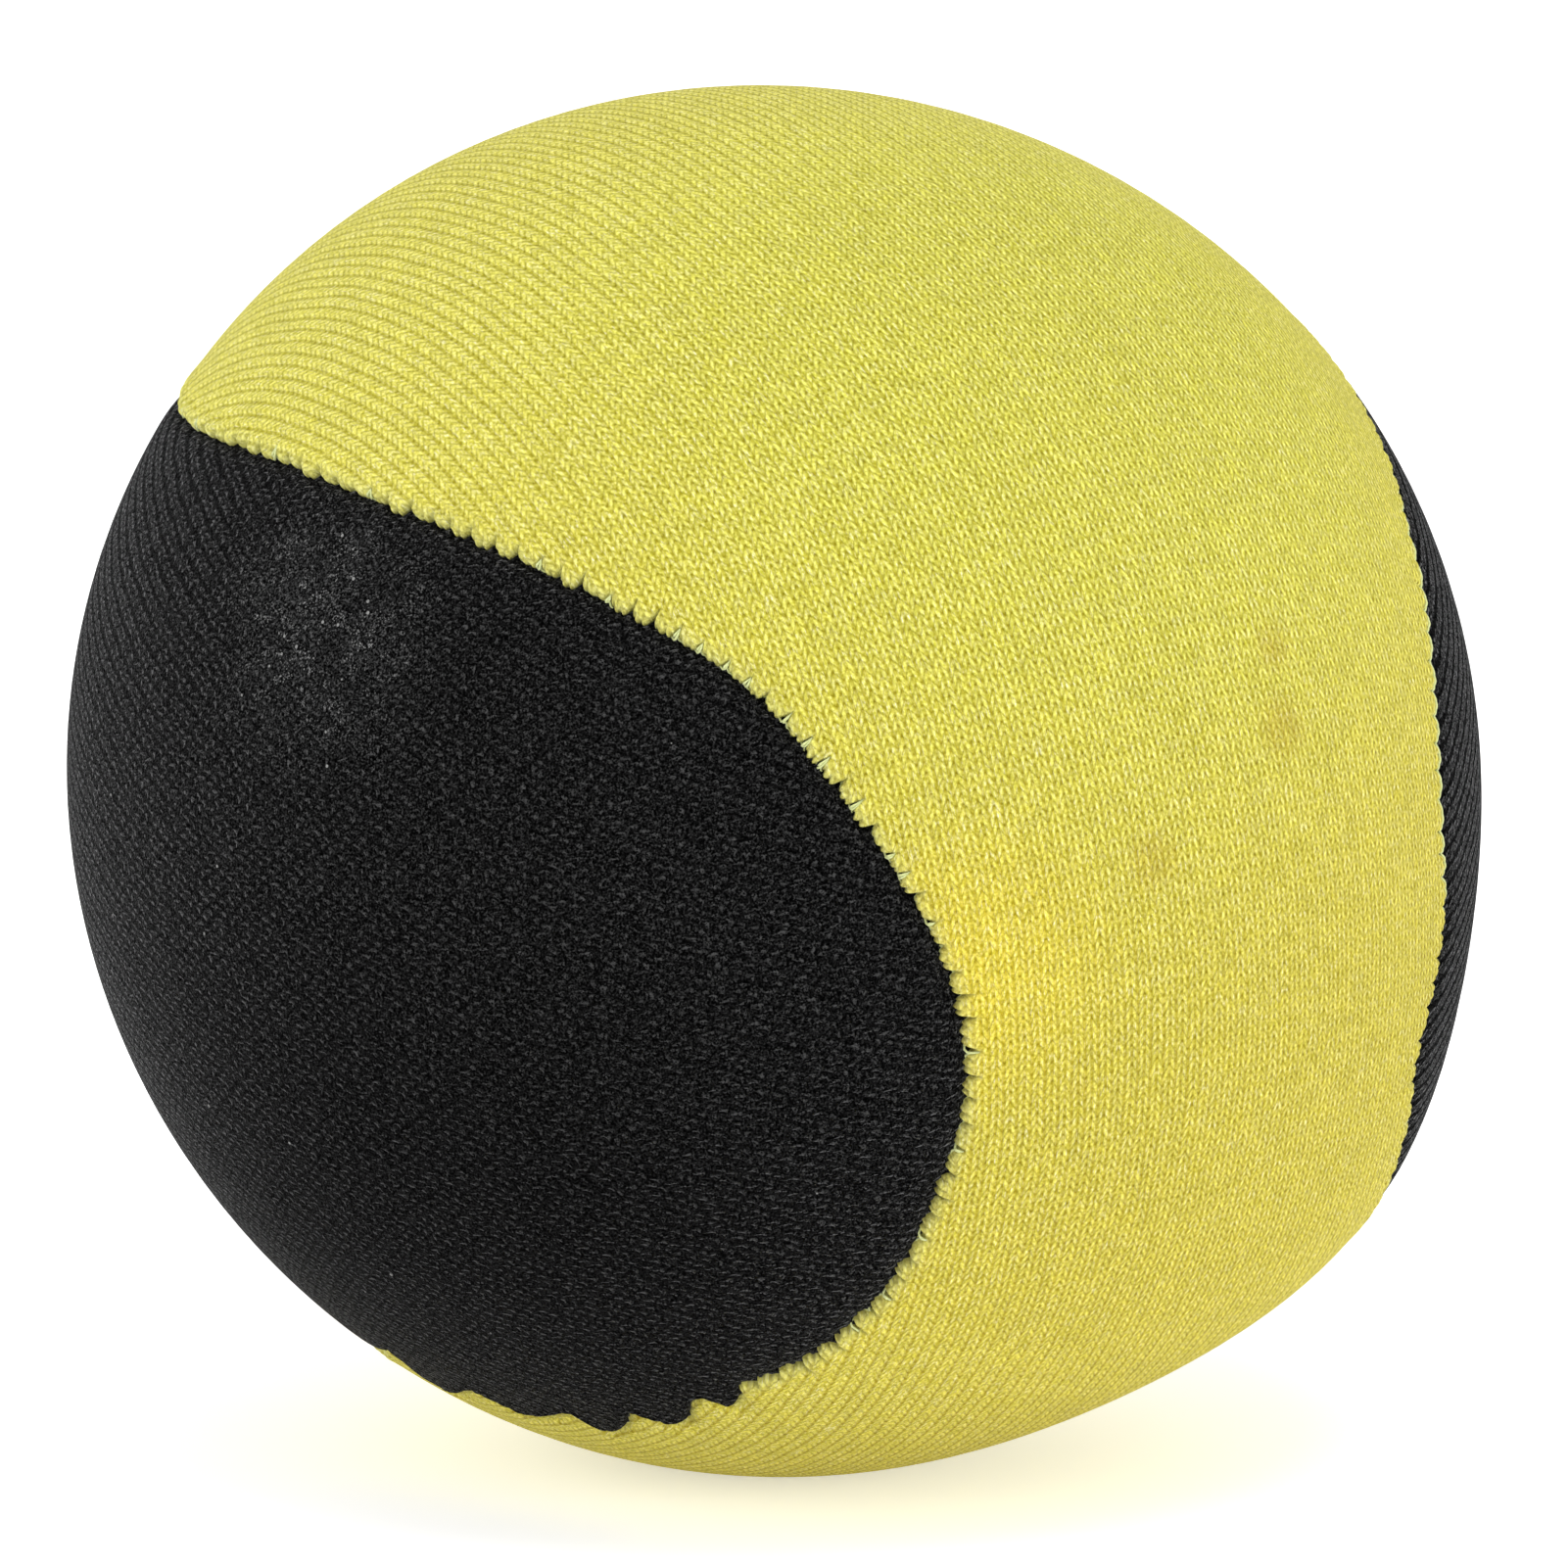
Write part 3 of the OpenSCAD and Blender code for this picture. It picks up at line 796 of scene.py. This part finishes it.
width_part = add(m, "Math", [width_part, 2.0], operation="POWER")
inside = add(m, "Math", [1.0, length_part], operation="SUBTRACT")
inside = add(m, "Math", [inside, width_part], operation="SUBTRACT", use_clamp=True)
bead_form = add(m, "Math", [inside, 0.6], operation="POWER")
print(f"strands {STRAND / MM:.2f} mm wide with beads {BEAD / MM:.2f} mm long")

# %% Ribs and height of the black cloth
BEAD_HEIGHT = 0.1 * MM
YARN_SIZE = 0.09 * MM
SMOOTH_SPOT = place_on_ball(-0.25, -0.96, -0.10)
rib_depth = by_distance(m, from_centre, SMOOTH_SPOT, 14 * MM, 46 * MM, 0.1)
rib = add(m, "Math", [strand_run, math.pi], operation="MULTIPLY")
rib = add(m, "Math", [rib], operation="COSINE")
rib = add(m, "MapRange", {"Value": rib, "From Min": 1.0, "From Max": -0.4})
rib_gap = add(m, "Math", [1.0, rib], operation="SUBTRACT")
rib_gap = add(m, "Math", [rib_gap, rib_depth], operation="MULTIPLY")
yarn_noise = {"Vector": where, "Scale": 1 / YARN_SIZE, "Detail": 3.0, "Roughness": 0.7}
yarn = add(m, "TexNoise", yarn_noise)
height = add(m, "Math", [yarn, 0.7, bead_form], operation="MULTIPLY_ADD")
height = add(m, "Math", [rib_gap, -1.2, height], operation="MULTIPLY_ADD")
black_bump = add(m, "Bump", {"Strength": 0.85, "Distance": BEAD_HEIGHT, "Height": height})

# %% Painted highlights on the backs of the beads, painted shade in the rib gaps
# painted shade: the painted highlights and the sheen are dimmed towards this spot low on the ball
LOW_SPOT = place_on_ball(-0.44, -0.65, -0.62)
painted_shade_low_down = by_distance(m, from_centre, LOW_SPOT, 6 * MM, 24 * MM, 0.48)
bead_tone = add(m, "MapRange", {"Value": lots_of_bead, "To Min": 0.35, "To Max": 0.9})
yarn_steps = {"Value": yarn, "From Min": 0.43, "From Max": 0.59, "To Max": 1.35}
yarn_tone = add(m, "MapRange", yarn_steps)
painted_bead_light = add(m, "Math", [bead_form, bead_tone], operation="MULTIPLY")
painted_bead_light = add(m, "Math", [painted_bead_light, yarn_tone], operation="MULTIPLY")
# painted highlight: glints of single filaments
painted_filament_glints = add(m, "MapRange", {"Value": yarn, "From Min": 0.54, "From Max": 0.68, "To Max": 0.6})
painted_bead_light = add(m, "Math", [painted_bead_light, painted_filament_glints], operation="MAXIMUM")
# painted shade in the gaps between the ribs
painted_bead_light = add(m, "Math", [rib_gap, -0.75, painted_bead_light], operation="MULTIPLY_ADD", use_clamp=True)
painted_bead_light = add(m, "Math", [painted_bead_light, painted_shade_low_down], operation="MULTIPLY")
# painted shade: the colour is darkest where the yarn lies low
painted_shade_black, yarn_black = linear("#020202"), linear("#101010")
colour = add(m, "Mix", {0: yarn_tone, 6: painted_shade_black, 7: yarn_black}, data_type="RGBA")
# painted highlight: the colour goes to a lit grey on the backs of the beads
colour = add(m, "Mix", {0: painted_bead_light, 6: colour, 7: linear("#424242")}, data_type="RGBA")

# %% Rubbed haze, hairs and dust on the black cloth
RUBBED_SPOT = place_on_ball(-0.635, -0.69, 0.345)
CLOUD_SIZE, GRAIN_SIZE = 2.2 * MM, 0.55 * MM
rubbed = by_distance(m, from_centre, RUBBED_SPOT, 7 * MM, 1 * MM)
cloud_noise = {"Vector": where, "Scale": 1 / CLOUD_SIZE, "Detail": 4.0, "Roughness": 0.7}
cloud = add(m, "TexNoise", cloud_noise)
cloud = add(m, "MapRange", {"Value": cloud, "From Min": 0.3, "From Max": 0.7})
rubbed_cloud = add(m, "Math", [rubbed, cloud], operation="MULTIPLY")
haze = add(m, "Math", [yarn_tone, 0.13], operation="MULTIPLY")
haze = add(m, "Math", [rubbed_cloud, haze], operation="MULTIPLY")
colour = add(m, "Mix", {0: haze, 6: colour, 7: linear("#6c6d6d")}, data_type="RGBA")
hairs = add(m, "MapRange", {"Value": yarn, "From Min": 0.59, "From Max": 0.64})
hairy = add(m, "MapRange", {"Value": lots_of_bead, "From Min": 0.3, "From Max": 0.75})
hairs = add(m, "Math", [hairs, hairy], operation="MULTIPLY")
hairs = add(m, "Math", [rubbed_cloud, hairs], operation="MULTIPLY")
colour = add(m, "Mix", {0: hairs, 6: colour, 7: linear("#b8b8b6")}, data_type="RGBA")
grains = add(m, "TexVoronoi", {"Vector": where, "Scale": 1 / GRAIN_SIZE})
near_grain = add(m, "Math", [grains, 0.13], operation="LESS_THAN")
grain_lot = add(m, "SeparateColor", [grains.node.outputs["Color"]])
speck_chance = add(m, "MapRange", {"Value": rubbed, "To Min": 0.98, "To Max": 0.62})
rare = add(m, "Math", [grain_lot, speck_chance], operation="GREATER_THAN")
speck = add(m, "Math", [near_grain, rare], operation="MULTIPLY")
speck = add(m, "Math", [speck, 0.7], operation="MULTIPLY")
colour = add(m, "Mix", {0: speck, 6: colour, 7: linear("#9a9a98")}, data_type="RGBA")

# %% Sheen and gloss of the raised black yarn
raised = add(m, "Math", [bead_form, 0.7, 0.3], operation="MULTIPLY_ADD")
raised = add(m, "Math", [raised, yarn_tone], operation="MULTIPLY")
above_rib_gap = add(m, "Math", [1.0, rib_gap], operation="SUBTRACT")
raised = add(m, "Math", [raised, above_rib_gap], operation="MULTIPLY", use_clamp=True)
raised = add(m, "Math", [raised, painted_shade_low_down], operation="MULTIPLY")
for socket, strength in (("Sheen Weight", 0.66), ("Specular IOR Level", 0.1)):
    share = add(m, "Math", [raised, strength], operation="MULTIPLY")
    m.node_tree.links.new(share, black_shader.inputs[socket])
finish_with(m, black_shader, colour, black_bump)
print(m.name, "has", len(m.node_tree.nodes), "nodes")

# %% [markdown]
# ## Threads and gel
#
# The seam is sewn with spun polyester thread: pale, slightly hairy and matt. The
# filling is a cast gel of oil in a soft rubber, clear with a cool cast, which
# shows only if the cover is taken off.

# %% Spun polyester thread, pale and black
FIBRE_SIZE = 0.06 * MM


def thread_finish(name, dark, light):
    """Matt spun thread, whose fibres go from dark to light."""
    material, shader = new_finish(name, Roughness=0.7, Sheen_Weight=0.2, Specular_IOR_Level=0.3)
    place = add(material, "TexCoord").node.outputs["Object"]
    fibres = add(material, "TexNoise", {"Vector": place, "Scale": 1 / FIBRE_SIZE, "Detail": 3.0})
    colour = add(material, "Mix", {0: fibres, 6: linear(dark), 7: linear(light)}, data_type="RGBA")
    bump = add(material, "Bump", {"Strength": 0.6, "Distance": 0.02 * MM, "Height": fibres})
    finish_with(material, shader, colour, bump)
    return material


pale_thread = thread_finish("spun_polyester_thread_pale", "#a9b465", "#e2e6ae")
black_thread = thread_finish("spun_polyester_thread_black", "#0c0c0c", "#2c2c2b")

# %% Cast oil gel
cast_gel, gel_shader = new_finish(
    "cast_oil_gel", Roughness=0.25, IOR=1.45, Transmission_Weight=0.75, Coat_Weight=0.2)
CLOUDING_SIZE, PRINT_SIZE = 6 * MM, 0.6 * MM
place = add(cast_gel, "TexCoord").node.outputs["Object"]
clouding = add(cast_gel, "TexNoise", {"Vector": place, "Scale": 1 / CLOUDING_SIZE, "Detail": 3.0})
cool_gel, pale_gel = linear("#b4dedb"), linear("#cfece8")
gel_colour = add(cast_gel, "Mix", {0: clouding, 6: cool_gel, 7: pale_gel}, data_type="RGBA")
print_of_cloth = add(cast_gel, "TexNoise", {"Vector": place, "Scale": 1 / PRINT_SIZE})
gel_bump = add(cast_gel, "Bump", {"Strength": 0.3, "Distance": 0.05 * MM, "Height": print_of_cloth})
finish_with(cast_gel, gel_shader, gel_colour, gel_bump)

# %% Give each piece its finish and its place on the ball
for piece, finish, node_name, slot in (
    (yellow_cloth, yellow_jersey, "yellow_panel", "yellow_jersey"),
    (black_cloth, black_jersey, "black_panel", "black_jersey"),
    (needle, pale_thread, "needle_thread", "seam_yarn"),
    (closing, black_thread, "closing_thread", "closing_yarn"),
):
    piece.data.materials.clear()
    piece.data.materials.append(finish)
    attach(piece, "root")
    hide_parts(node_name)
for node_name, finish in (("gel_core", cast_gel), ("looper_thread", pale_thread)):
    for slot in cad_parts[node_name].material_slots:
        slot.material = finish

# %% [markdown]
# ## Camera, floor and light
#
# The ball is seen nearly level, from 10 degrees up and far off, so it shows
# almost no perspective. The floor is a pale sheet that runs out of view and
# glows a little for the camera, so it reads as white but keeps the shadow.

# %% The camera
VIEW_UP = math.radians(10)
DISTANCE = 560 * MM
VIEW_WIDTH = 62.26 * MM
MOVED_RIGHT, MOVED_UP = -0.04 * MM, 0.175 * MM
SENSOR = 36
toward = np.array([0, -math.cos(VIEW_UP), math.sin(VIEW_UP)])
image_up = np.array([0, math.sin(VIEW_UP), math.cos(VIEW_UP)])
camera_data = bpy.data.cameras.new("camera")
camera_data.sensor_width = SENSOR
camera_data.lens = SENSOR * DISTANCE / VIEW_WIDTH
camera_data.clip_start, camera_data.clip_end = 0.05, 20
camera = bpy.data.objects.new("camera", camera_data)
bpy.context.scene.collection.objects.link(camera)
camera.location = CENTRE + toward * DISTANCE + np.array([MOVED_RIGHT, 0, 0]) + image_up * MOVED_UP
camera.rotation_euler = (math.pi / 2 - VIEW_UP, 0, 0)
bpy.context.scene.camera = camera
print(f"lens {camera_data.lens:.0f} mm at {DISTANCE:.2f} m")

# %% The floor
FLOOR_SIZE = 8
GLOW, GLOW_SEEN = 0.3, 0.14
bpy.ops.object.select_all(action="DESELECT")
bpy.ops.mesh.primitive_plane_add(size=FLOOR_SIZE, location=(0, 0, 0))
floor = bpy.context.object
floor.name = "floor"
paper, paper_shader = new_finish("matt_white_paper", Roughness=0.9, Specular_IOR_Level=0.1)
paper_shader.inputs["Base Color"].default_value = linear("#f8f8f8")
rays = add(paper, "LightPath").node.outputs
seen = add(paper, "Math", [rays["Is Camera Ray"], rays["Is Glossy Ray"]], operation="MAXIMUM")
seen = add(paper, "Math", [seen, rays["Is Transmission Ray"]], operation="MAXIMUM")
glow = add(paper, "Math", [seen, GLOW_SEEN, GLOW], operation="MULTIPLY_ADD")
paper_shader.inputs["Emission Color"].default_value = (1, 1, 1, 1)
paper.node_tree.links.new(glow, paper_shader.inputs["Emission Strength"])
floor.data.materials.append(paper)

# %% The lamps and the room
LAMP_DISTANCE = 600 * MM


def soft_lamp(name, azimuth, elevation, size, power):
    """A round softbox that faces the ball, at angles in degrees from the front and the floor."""
    lamp = bpy.data.lights.new(name, "AREA")
    lamp.shape, lamp.size, lamp.energy = "DISK", size, power
    holder = bpy.data.objects.new(name, lamp)
    bpy.context.scene.collection.objects.link(holder)
    a, e = math.radians(azimuth), math.radians(elevation)
    way = Vector((math.sin(a) * math.cos(e), -math.cos(a) * math.cos(e), math.sin(e)))
    holder.location = Vector(CENTRE) + way * LAMP_DISTANCE
    holder.rotation_euler = way.to_track_quat("Z", "Y").to_euler()


soft_lamp("key_softbox", 25, 72, 0.3, 1.3)
soft_lamp("low_softbox_right", 50, 2, 0.5, 1.95)
soft_lamp("low_softbox_left", -72, 14, 0.5, 1.25)
world = bpy.data.worlds.new("white_room")
bpy.context.scene.world = world
world.use_nodes = True
background = world.node_tree.nodes["Background"]
background.inputs["Color"].default_value = (1, 1, 1, 1)
background.inputs["Strength"].default_value = 0.84
bpy.context.scene.view_settings.view_transform = "Standard"
